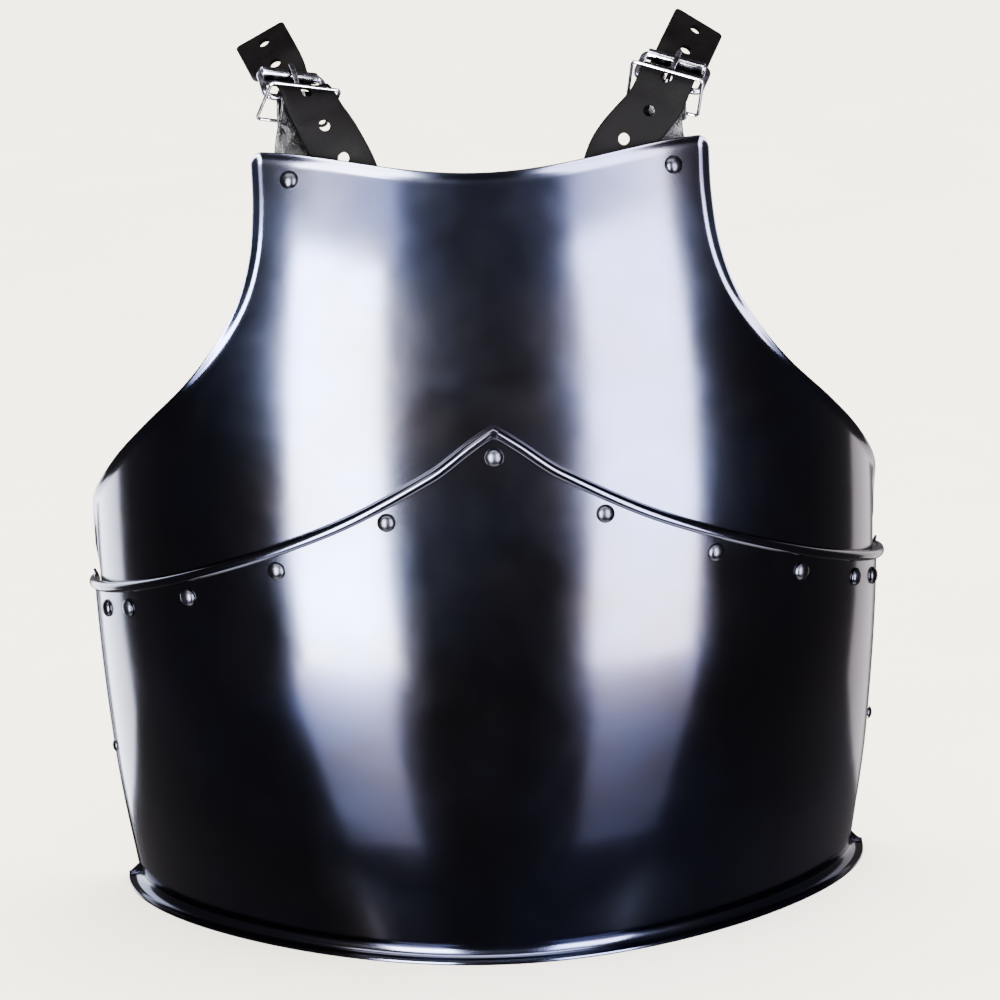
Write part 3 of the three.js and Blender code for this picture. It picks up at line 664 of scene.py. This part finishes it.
def rivets(sizes):
    head = sizes.rivet * 1000
    through_plates = rivet_model("rivet_a", head, RIVET_SHANK, 2 * SHEET + 0.8)
    for number, step in enumerate(range(-5, 6), start=1):
        count = abs(step)
        angle = math.copysign(angle_at_girth(RIVET_GIRTHS[count]), step)
        height = bead_height(abs(angle)) - RIVET_DROPS[count]
        set_rivet(through_plates, f"lap_rivet_{number}", f"plackart_rivet_{number}",
                  angle, height, LOWER_FACE)
    through_strap = rivet_model("rivet_b", SIDE_RIVET_HEAD, RIVET_SHANK, SHEET + STRAP_THICK + 0.9)
    through_hanger = rivet_model("rivet_c", head, RIVET_SHANK, SHEET + HANGER_THICK + 1.6)
    for side, s in (("left", -1), ("right", 1)):
        set_rivet(through_hanger, f"corner_rivet_{side}", f"shoulder_rivet_{side}",
                  s * SHOULDER_RIVET[0], SHOULDER_RIVET[1], 0.0)
        set_rivet(through_strap, f"flank_rivet_{side}", f"side_rivet_{side}",
                  s * SIDE_RIVET[0], SIDE_RIVET[1], LOWER_FACE)
    for model in (through_plates, through_strap, through_hanger):
        bpy.data.objects.remove(model)


# ------------------------------------------------------------------ straps and buckles

ACROSS = Vector((1, 0, 0))
RISE = Vector((0, 0.156, 0.988))
BACK = Vector((0, 0.988, -0.156))


class Buckle:
    """A buckle's own frame: e1 along its bars, e2 from the heel bar to the roller, e3 outward."""

    def __init__(self, s, strap, reach, tilt, outward, back):
        self.s, self.strap = s, math.radians(strap)
        tilt, outward, back = (math.radians(a) for a in (tilt, outward, back))
        upright = mix((RISE, math.cos(outward)), (ACROSS, s * math.sin(outward)))
        self.e2 = mix((upright, math.cos(back)), (BACK, math.sin(back)))
        level = mix((ACROSS, math.cos(tilt)), (RISE, -s * math.sin(tilt)))
        self.e1 = (level - BACK * (level.dot(self.e2) / BACK.dot(self.e2))).normalized()
        self.e3 = self.e1.cross(self.e2)
        self.centre = Vector((s * reach, -108, 455))

    def at(self, x, y, z):
        return self.centre + self.e1 * x + self.e2 * y + self.e3 * z


BUCKLES = {
    "left": Buckle(-1, 27.5, 92.5, -9, 16, 46),
    "right": Buckle(1, 33, 98.8, 18, 31, 45),
}
FOLD_REACH = BAR_RADIUS * 1.12 + 0.8 + HANGER_THICK / 2
STRAP_AT_HEEL = FOLD_REACH + HANGER_THICK / 2 + STRAP_THICK / 2 + 1.8
STRAP_AT_ROLLER = -(ROLLER_RADIUS + CONTACT + STRAP_THICK / 2 + 0.9)


def route_point(points, t):
    """A point of a smooth route through points, at t from 0 to 1."""
    last = len(points) - 1
    place = last * t
    i = min(int(place), last - 1)
    w = place - i
    p1, p2 = points[i], points[i + 1]
    p0 = points[i - 1] if i else points[0] * 2 - points[1]
    p3 = points[i + 2] if i + 2 <= last else points[last] * 2 - points[last - 1]
    d0, d1, d2 = (max((b - a).length ** 0.5, 1e-4) for a, b in ((p0, p1), (p1, p2), (p2, p3)))
    t1 = ((p1 - p0) / d0 - (p2 - p0) / (d0 + d1) + (p2 - p1) / d1) * d1
    t2 = ((p2 - p1) / d1 - (p3 - p1) / (d1 + d2) + (p3 - p2) / d2) * d1
    return p1 + t1 * w + (p1 * -3 + p2 * 3 - t1 * 2 - t2) * w**2 + (p1 * 2 - p2 * 2 + t1 + t2) * w**3


def stations_along(stations, count):
    route = [s[0] for s in stations]
    wides = [s[1] for s in stations]
    return [(route_point(route, i / count), route_point(wides, i / count).normalized())
            for i in range(count + 1)]


def strap_stations(b):
    """The long strap, from the rivet inside the opposite flank to its free end."""
    s = b.s
    lower = mix((RISE, math.cos(b.strap)), (ACROSS, s * math.sin(b.strap)))
    wide = mix((ACROSS, math.cos(b.strap)), (RISE, -s * math.sin(b.strap)))
    under = SHEET + STRAP_THICK / 2 + 2.6
    neck = on_body(s * 20.2, 423, -under)

    def wide_here(angle, height):
        normal = body_normal(s * angle, height)
        return (wide - normal * wide.dot(normal)).normalized()

    heel = b.at(0, -BUCKLE_REACH, STRAP_AT_HEEL)
    roller = b.at(0, BUCKLE_REACH, STRAP_AT_ROLLER)
    tail = roller + lower * 28 + BACK * 34
    inset = SHEET + 0.8 + STRAP_THICK / 2

    def flank(height, extra):
        return on_body(-s * SIDE_RIVET[0], height, -inset - extra)

    along = Vector((0, s, 0))
    behind = 9 if s > 0 else 0
    low = SIDE_RIVET[1]
    return [
        (flank(low - 14, 0), along),
        (flank(low + 22, 0), along),
        (flank(low + 70, 9), mix((along, 1), (wide, 0.25)).normalized()),
        (Vector((-s * 112, -62, 245)), mix((along, 1), (wide, 0.9)).normalized()),
        (Vector((-s * 22, -118 + behind, 333)), mix((along, 0.2), (wide, 1)).normalized()),
        (Vector((s * 20, -118 + behind, 366)), wide),
        (on_body(s * 15.4, 394, -under - 0.9), wide_here(15.4, 394)),
        (neck, wide_here(20.2, 423)),
        (neck.lerp(heel, 0.6) - BACK * 0.8 + ACROSS * (3.4 if s > 0 else 0),
         mix((wide, 0.6 if s > 0 else 0.25), (b.e1, 0.4 if s > 0 else 0.75)).normalized()),
        (heel, b.e1),
        (heel.lerp(roller, 0.5), b.e1),
        (roller, b.e1),
        (roller.lerp(tail, 0.5) - BACK, wide),
        (tail, wide),
    ]


def hanger_stations(b):
    """The short buckle strap: from the shoulder rivet, round the heel bar and down behind itself."""
    s = b.s
    angle, height = SHOULDER_RIVET

    def behind_plate(at_height, extra):
        return on_body(s * angle, at_height, -SHEET - HANGER_THICK / 2 - 1.3 - extra)

    along = (body_point(s * angle + 1, 410) - body_point(s * angle - 1, 410)).normalized()
    reach = FOLD_REACH
    fold = [(b.at(0, -BUCKLE_REACH + reach * math.sin(a), reach * math.cos(a)), b.e1)
            for a in (math.radians(turn) for turn in (0, 45, 90, 135, 180))]
    back = b.at(0, -BUCKLE_REACH, -reach)
    gap = 2 * CONTACT + HANGER_THICK
    return [
        (behind_plate(height - 9, 0), along),
        (behind_plate(height, 0), along),
        (behind_plate(height + 10, 1.2), mix((along, 0.8), (b.e1, 0.2)).normalized()),
        (behind_plate(height + 20, 2.6), mix((along, 0.4), (b.e1, 0.6)).normalized()),
        (b.at(0, -BUCKLE_REACH - 5.5, reach - 3.2), b.e1),
        *fold,
        (back - RISE * 6 + BACK * 0.6, b.e1),
        (back - RISE * 16 + BACK * (gap - 2), b.e1),
    ]


def strip_outline(width, thick):
    """Half-rounded strip section: corners first bevelled, then eased, and both faces split for shading."""
    r = thick * 0.38
    points = []
    for x, y, start in ((1, 1, 0), (-1, 1, 90), (-1, -1, 180), (1, -1, 270)):
        for turn in (0, 30, 60, 90):
            a = math.radians(start + turn)
            points.append((x * (width / 2 - r) + r * math.cos(a), y * (thick / 2 - r) + r * math.sin(a)))
        if start in (0, 180):
            for share in (0.75, 0.5, 0.25, 0, -0.25, -0.5, -0.75):
                points.append((x * share * (width / 2 - r), y * thick / 2))
    return points


def strip_piece(name, stations, width, thick, end_radius):
    """A leather strip along stations, its free end's corners cut round."""
    sections = []
    lengths = [0.0]
    for a, b in zip(stations, stations[1:]):
        lengths.append(lengths[-1] + (b[0] - a[0]).length)
    for i, (at, wide) in enumerate(stations):
        ahead = stations[min(i + 1, len(stations) - 1)][0]
        along = (ahead - stations[max(i - 1, 0)][0]).normalized()
        x = (wide - along * wide.dot(along)).normalized()
        y = along.cross(x)
        left = lengths[-1] - lengths[i]
        trim = 0.0
        if left < end_radius:
            trim = end_radius - math.sqrt(max(end_radius**2 - (end_radius - left) ** 2, 0))
        half = width / 2 - trim
        ring = []
        for u, v in strip_outline(2 * half, thick):
            ring.append(placed(at + x * u + y * v))
        sections.append(ring)
    sides = len(sections[0])

    def place(column, row):
        return sections[column][row % sides]

    return merged(grid_piece(name, len(sections) - 1, sides, place), 0.000005)


def point_back(stations, length):
    """The point and directions a given length back from the free end."""
    walked = 0.0
    for i in range(len(stations) - 1, 0, -1):
        step = (stations[i][0] - stations[i - 1][0]).length
        if walked + step >= length:
            along = (stations[i][0] - stations[i - 1][0]).normalized()
            at = stations[i][0] - along * (length - walked)
            return at, along, along.cross(stations[i][1]).normalized()
        walked += step
    raise RuntimeError("the strap is shorter than its holes need")


def cut(piece, tool):
    apply_modifier(piece, "BOOLEAN", operation="DIFFERENCE", solver="EXACT", object=tool)
    bpy.data.objects.remove(tool)


def punch_hole(piece, at, axis, radius, depth=12.0):
    nothing_selected()
    bpy.ops.mesh.primitive_cylinder_add(vertices=28, radius=radius, depth=millimetres(depth))
    tool = bpy.context.object
    turn = axis.to_track_quat("Z", "Y").to_matrix().to_4x4()
    tool.data.transform(Matrix.Translation(placed(at)) @ turn)
    cut(piece, tool)


def long_strap(side, sizes):
    b = BUCKLES[side]
    stations = stations_along(strap_stations(b), 240)
    while (stations[-1][0] - stations[-2][0]).length > 0.4:
        middle = ((stations[-1][0] + stations[-2][0]) / 2, stations[-1][1])
        stations.insert(len(stations) - 1, middle)
    strap = strip_piece(f"long_strap_{side}", stations, STRAP_WIDTH, STRAP_THICK, TIP_RADIUS)
    for length in HOLES:
        at, _, axis = point_back(stations, length)
        punch_hole(strap, at, axis, sizes.hole)
    where_prong_passes = b.at(0, -BUCKLE_REACH + 7, 1.0)
    punch_hole(strap, where_prong_passes, b.e2 * 0.8 + b.e3 * 0.9, millimetres(PRONG_RADIUS + 0.9), 14)
    smooth(strap, 50)
    finish_piece(strap, STRAP_LEATHER, "strap_leather", f"shoulder_strap_{side}")


def short_strap(side):
    b = BUCKLES[side]
    hanger = strip_piece(f"short_strap_{side}", stations_along(hanger_stations(b), 110), HANGER_WIDTH,
                         HANGER_THICK, 1.5)
    nothing_selected()
    bpy.ops.mesh.primitive_cube_add(size=1)
    slot = bpy.context.object
    turn = Matrix((b.e1, b.e2, b.e3)).transposed().to_4x4()
    size = Matrix.Diagonal((0.0048, 0.014, 0.016, 1))
    slot.data.transform(Matrix.Translation(placed(b.at(0, -BUCKLE_REACH, 0))) @ turn @ size)
    cut(hanger, slot)
    smooth(hanger, 50)
    finish_piece(hanger, LOOP_LEATHER, "buckle_strap_leather", f"buckle_strap_{side}")


def ring_route(half_x, half_y, corner, steps=6):
    """Corners of a rounded rectangle, as (x, y) pairs."""
    points = []
    for x, y, start in ((1, 1, 0), (-1, 1, 90), (-1, -1, 180), (1, -1, 270)):
        for k in range(steps + 1):
            a = math.radians(start + 90 * k / steps)
            points.append((x * (half_x - corner) + corner * math.cos(a),
                           y * (half_y - corner) + corner * math.sin(a)))
    return points


def buckle_ring(side):
    b = BUCKLES[side]
    ring = [placed(b.at(x, y, 0)) for x, y in ring_route(BUCKLE_INSIDE + BAR_RADIUS, BUCKLE_REACH, 3.2)]
    loop = wire_piece(f"buckle_ring_{side}", ring, millimetres(BAR_RADIUS), 16, lambda i: b.e3, closed=True)
    smooth(loop, 50)
    finish_piece(loop, BUCKLE_STEEL, "buckle_steel", f"buckle_frame_{side}")


def roller(side):
    b = BUCKLES[side]
    half = BUCKLE_INSIDE - CONTACT - 0.6
    nothing_selected()
    bpy.ops.mesh.primitive_cylinder_add(
        vertices=40, radius=millimetres(ROLLER_RADIUS), depth=millimetres(2 * half))
    tube = bpy.context.object
    tube.name = tube.data.name = f"roller_{side}"
    for sign in (1, -1):
        for polygon in tube.data.polygons:
            polygon.select = polygon.normal.z * sign > 0.9
        edit()
        bpy.ops.mesh.select_mode(type="FACE")
        bpy.ops.mesh.inset(thickness=millimetres(ROLLER_RADIUS - BAR_RADIUS - 0.3))
        bpy.ops.mesh.extrude_region_move(TRANSFORM_OT_translate={"value": (0, 0, -sign * millimetres(1.2))})
        bpy.ops.mesh.select_all(action="DESELECT")
        edit("OBJECT")
    apply_modifier(tube, "BEVEL", width=millimetres(0.35), segments=3, limit_method="ANGLE")
    turn = Matrix((b.e2, b.e3, b.e1)).transposed().to_4x4()
    tube.data.transform(Matrix.Translation(placed(b.at(0, BUCKLE_REACH, 0))) @ turn)
    smooth(tube, 40)
    finish_piece(tube, BUCKLE_STEEL, "buckle_steel", f"buckle_roller_{side}")


def prong(side):
    b = BUCKLES[side]
    loop_size = BAR_RADIUS * 1.12 + CONTACT + PRONG_RADIUS
    rest = ROLLER_RADIUS + CONTACT + PRONG_RADIUS
    coarse = [b.at(0, -BUCKLE_REACH - loop_size * math.cos(a), loop_size * math.sin(a))
              for a in (math.radians(turn) for turn in range(-150, 91, 30))]
    coarse += [b.at(0, -BUCKLE_REACH + 7, loop_size + 0.6), b.at(0, BUCKLE_REACH - 1, rest + 0.1),
               b.at(0, BUCKLE_REACH + 3.4, rest - 0.4)]
    route = [placed(route_point(coarse, i / 60)) for i in range(61)]
    wire = wire_piece(f"prong_{side}", route, millimetres(PRONG_RADIUS), 14, lambda i: b.e1, rounded=True)
    smooth(wire, 50)
    finish_piece(wire, BUCKLE_STEEL, "buckle_steel", f"buckle_prong_{side}")


def wire_keeper(side):
    b = BUCKLES[side]
    high = STRAP_AT_HEEL + STRAP_THICK / 2 + CONTACT + KEEPER_RADIUS + 1.4
    low = -12.6
    middle, tall = (high + low) / 2, (high - low) / 2
    keeper = [placed(b.at(x, -BUCKLE_REACH - 3.2, middle + z))
              for x, z in ring_route(BUCKLE_INSIDE + 3.4, tall, 2.2)]
    wire = wire_piece(f"wire_loop_{side}", keeper, millimetres(KEEPER_RADIUS), 12,
                      lambda i: b.e2, closed=True)
    smooth(wire, 50)
    finish_piece(wire, BUCKLE_STEEL, "buckle_steel", f"strap_keeper_{side}")


# ------------------------------------------------------------------ the stage

BOX_DISTANCE = 1.6        # the box and rim lights stand in a ring of this radius, in metres
BOX_FOOT = -0.50          # the box lights' full strength ends here, below the floor's level
FADE_BANDS = ((0.62, -0.60), (0.36, -0.70), (0.20, -0.82), (0.11, -0.96), (0.05, -1.15))
RIM_LOW, RIM_HIGH = -0.55, 1.1
GROUND_SIZE = 14
CAMERA_TARGET = Vector((0.0056, 0.00846, 0.228))
CAMERA_AWAY = 2.2
CAMERA_ELEVATION, CAMERA_YAW, CAMERA_ROLL = 15, 2, 1.9
CAMERA_LENS = 150.8


def area_light(name, place, aim, size, power, color=(1, 1, 1), shape="RECTANGLE"):
    """A light that the camera doesn't see, with its face towards aim."""
    nothing_selected()
    bpy.ops.object.light_add(type="AREA", location=place)
    light = bpy.context.object
    light.name = name
    light.data.shape = shape
    light.data.size = size[0]
    light.data.size_y = size[1]
    light.data.energy = power
    light.data.color = color
    if aim is not None:
        light.rotation_euler = (place - aim).to_track_quat("Z", "Y").to_euler()
    light.visible_camera = False
    return light


def soft_box(name, azimuth, low, high, width, power, color):
    """A tall light that is only mirrored. Its azimuth is from the front, towards +X."""
    turn = math.radians(azimuth)
    centre = Vector((math.sin(turn) * BOX_DISTANCE, -math.cos(turn) * BOX_DISTANCE, (low + high) / 2))
    light = area_light(name, centre, Vector((0, 0, centre.z)), (width, high - low), power, color)
    light.visible_diffuse = False


def falling_off(name, azimuth, width, strength, color):
    """Dimmer and dimmer bands below a box light, so that its mirror image fades out downwards."""
    high = BOX_FOOT
    for number, (share, low) in enumerate(FADE_BANDS):
        power = strength * share * width * (high - low)
        further = azimuth + math.copysign(number, azimuth)
        soft_box(f"{name}_{number + 1}", further, low, high, width, power, color)
        high = low


def lights():
    soft_box("box_left", -29.3, BOX_FOOT, 0.98, 0.62, 700, (0.97, 0.99, 1.0))
    soft_box("box_left_top", -25, 0.98, 1.6, 0.56, 26, (0.70, 0.74, 1.0))
    falling_off("box_left", -31.5, 0.66, 513, (0.72, 0.77, 1.0))
    soft_box("box_right", 31.5, BOX_FOOT, 1.06, 0.69, 410, (0.93, 0.92, 1.0))
    soft_box("box_right_top", 31.5, 1.06, 1.6, 0.70, 26, (0.76, 0.78, 1.0))
    falling_off("box_right", 32.5, 0.72, 168, (0.80, 0.79, 1.0))
    soft_box("rim_left", -143, RIM_LOW, RIM_HIGH, 0.75, 34, (0.80, 0.84, 1.0))
    soft_box("rim_right", 140, RIM_LOW, RIM_HIGH, 0.7, 7, (1.0, 0.90, 0.95))

    overhead = area_light("overhead", Vector((0.9, -0.3, 1.9)), None, (1.4, 1.4), 34, shape="DISK")
    overhead.visible_glossy = False

    # High and low strips that only the bead, the rims and the rivet heads can mirror.
    above = Vector((-0.25, -0.75, 1.75))
    high_strip = area_light("high_strip", above, above - Vector((-0.1, -0.75, 1.45)), (2.2, 0.5), 110)
    high_strip.visible_diffuse = False
    low_strip = area_light("low_strip", Vector((0, -0.35, -1.3)), None, (2.0, 0.9), 60)
    low_strip.rotation_euler = (math.pi, 0, 0)
    low_strip.visible_diffuse = False


def room():
    """A bright pale room for the leather and the ground, which the steel mirrors as a dim one."""
    world = bpy.data.worlds.new("studio")
    bpy.context.scene.world = world
    world.use_nodes = True
    tree = world.node_tree
    tree.nodes.clear()
    mirrored = add_node(tree, "ShaderNodeBackground", {"Color": linear("#8a8487"), "Strength": 0.7})
    lit = add_node(tree, "ShaderNodeBackground", {"Color": linear("#fff8ea"), "Strength": 6.4})
    ray = add_node(tree, "ShaderNodeLightPath")
    either = add_node(tree, "ShaderNodeMixShader",
                      links={0: (ray, "Is Glossy Ray"), 1: (lit, 0), 2: (mirrored, 0)})
    add_node(tree, "ShaderNodeOutputWorld", links={"Surface": (either, 0)})


def ground():
    nothing_selected()
    bpy.ops.mesh.primitive_grid_add(x_subdivisions=8, y_subdivisions=8, size=GROUND_SIZE)
    floor = bpy.context.object
    floor.name = floor.data.name = "floor"
    floor.data.materials.append(material_named(GROUND_BOARD))
    floor.visible_glossy = False


def camera():
    elevation, yaw, roll = (math.radians(a) for a in (CAMERA_ELEVATION, CAMERA_YAW, CAMERA_ROLL))
    level_way = Vector((-math.sin(yaw), -math.cos(yaw), 0))
    away = level_way * math.cos(elevation) + Vector((0, 0, math.sin(elevation)))
    forward = -away
    level = forward.cross(Vector((0, 0, 1))).normalized()
    upward = level.cross(forward)
    right = level * math.cos(roll) - upward * math.sin(roll)
    up = level * math.sin(roll) + upward * math.cos(roll)
    nothing_selected()
    bpy.ops.object.camera_add()
    view = bpy.context.object
    turn = Matrix((right, up, -forward)).transposed().to_4x4()
    view.matrix_world = Matrix.Translation(CAMERA_TARGET + away * CAMERA_AWAY) @ turn
    view.data.sensor_width = 36
    view.data.lens = CAMERA_LENS
    view.data.clip_end = 100
    bpy.context.scene.camera = view


# ------------------------------------------------------------------ the add-on


class BreastplateSizes(PropertyGroup):
    sheet: FloatProperty(
        name="Plate thickness", description="Thickness of both steel plates",
        default=millimetres(SHEET), min=0.0005, max=0.004, unit="LENGTH", precision=5)
    bead: FloatProperty(
        name="Bead radius", description="Radius of the rolled bead along the plackart's top edge",
        default=millimetres(BEAD_RADIUS), min=0.001, max=0.006, unit="LENGTH", precision=5)
    rivet: FloatProperty(
        name="Rivet head radius", description="Radius of the rivet heads below the bead",
        default=millimetres(RIVET_HEAD), min=0.002, max=0.008, unit="LENGTH", precision=5)
    hole: FloatProperty(
        name="Strap hole radius", description="Radius of the holes punched in the long straps",
        default=millimetres(HOLE_RADIUS), min=0.001, max=0.006, unit="LENGTH", precision=5)


class BreastplateColors(PropertyGroup):
    steel: FloatVectorProperty(
        name="Plate steel", description="Colour of the blackened plates", size=4,
        default=linear("#2b2d38"), min=0, max=1, subtype="COLOR")
    buckle: FloatVectorProperty(
        name="Buckle steel", description="Colour of the clean parts of the buckle wire", size=4,
        default=linear("#a5a5b0"), min=0, max=1, subtype="COLOR")
    leather: FloatVectorProperty(
        name="Strap leather", description="Colour of the palest parts of the long straps", size=4,
        default=linear("#09080a"), min=0, max=1, subtype="COLOR")
    ground: FloatVectorProperty(
        name="Ground", description="Colour of the ground that the breastplate stands on", size=4,
        default=linear("#f1ede4"), min=0, max=1, subtype="COLOR")


class BREASTPLATE_OT_upper_plate(Operator):
    """Forms the upper plate, with its turned neck and armhole edges"""
    bl_idname = "breastplate.upper_plate"
    bl_label = "Upper Plate"

    def execute(self, context):
        upper_plate(context.scene.breastplate_sizes)
        return {"FINISHED"}


class BREASTPLATE_OT_plackart(Operator):
    """Forms the lower plate, with its bead and its turned lip"""
    bl_idname = "breastplate.plackart"
    bl_label = "Plackart"

    def execute(self, context):
        plackart(context.scene.breastplate_sizes)
        return {"FINISHED"}


class BREASTPLATE_OT_rivets(Operator):
    """Sets the rivets along the bead, at the shoulders and on the flanks"""
    bl_idname = "breastplate.rivets"
    bl_label = "Rivets"

    def execute(self, context):
        rivets(context.scene.breastplate_sizes)
        return {"FINISHED"}


class BREASTPLATE_OT_long_straps(Operator):
    """Lays the two long punched straps"""
    bl_idname = "breastplate.long_straps"
    bl_label = "Long Straps"

    def execute(self, context):
        for side in BUCKLES:
            long_strap(side, context.scene.breastplate_sizes)
        return {"FINISHED"}


class BREASTPLATE_OT_short_straps(Operator):
    """Folds the two short straps round the buckles' heel bars"""
    bl_idname = "breastplate.short_straps"
    bl_label = "Short Straps"

    def execute(self, context):
        for side in BUCKLES:
            short_strap(side)
        return {"FINISHED"}


class BREASTPLATE_OT_buckles(Operator):
    """Makes both buckles: ring, roller, prong and wire keeper"""
    bl_idname = "breastplate.buckles"
    bl_label = "Buckles"

    def execute(self, context):
        for side in BUCKLES:
            for make in (buckle_ring, roller, prong, wire_keeper):
                make(side)
        return {"FINISHED"}


class BREASTPLATE_OT_stage(Operator):
    """Sets the ground, the lights, the room and the camera"""
    bl_idname = "breastplate.stage"
    bl_label = "Stage"

    def execute(self, context):
        ground()
        lights()
        room()
        camera()
        return {"FINISHED"}


OPERATORS = (
    BREASTPLATE_OT_upper_plate, BREASTPLATE_OT_plackart, BREASTPLATE_OT_rivets, BREASTPLATE_OT_long_straps,
    BREASTPLATE_OT_short_straps, BREASTPLATE_OT_buckles, BREASTPLATE_OT_stage)


class BREASTPLATE_PT_panel(Panel):
    bl_label = "Breastplate"
    bl_idname = "BREASTPLATE_PT_panel"
    bl_space_type = "VIEW_3D"
    bl_region_type = "UI"
    bl_category = "Breastplate"

    def draw(self, context):
        scene = context.scene
        for group in (scene.breastplate_sizes, scene.breastplate_colors):
            for name in group.__annotations__:
                self.layout.prop(group, name)
        for operator in OPERATORS:
            self.layout.operator(operator.bl_idname)


CLASSES = (BreastplateSizes, BreastplateColors, *OPERATORS, BREASTPLATE_PT_panel)


def register():
    for cls in CLASSES:
        bpy.utils.register_class(cls)
    bpy.types.Scene.breastplate_sizes = PointerProperty(type=BreastplateSizes)
    bpy.types.Scene.breastplate_colors = PointerProperty(type=BreastplateColors)


def unregister():
    del bpy.types.Scene.breastplate_colors
    del bpy.types.Scene.breastplate_sizes
    for cls in reversed(CLASSES):
        bpy.utils.unregister_class(cls)


def main():
    register()
    bpy.ops.breastplate.upper_plate()
    bpy.ops.breastplate.plackart()
    bpy.ops.breastplate.rivets()
    bpy.ops.breastplate.long_straps()
    bpy.ops.breastplate.short_straps()
    bpy.ops.breastplate.buckles()
    bpy.ops.breastplate.stage()


if __name__ == "__main__":
    main()
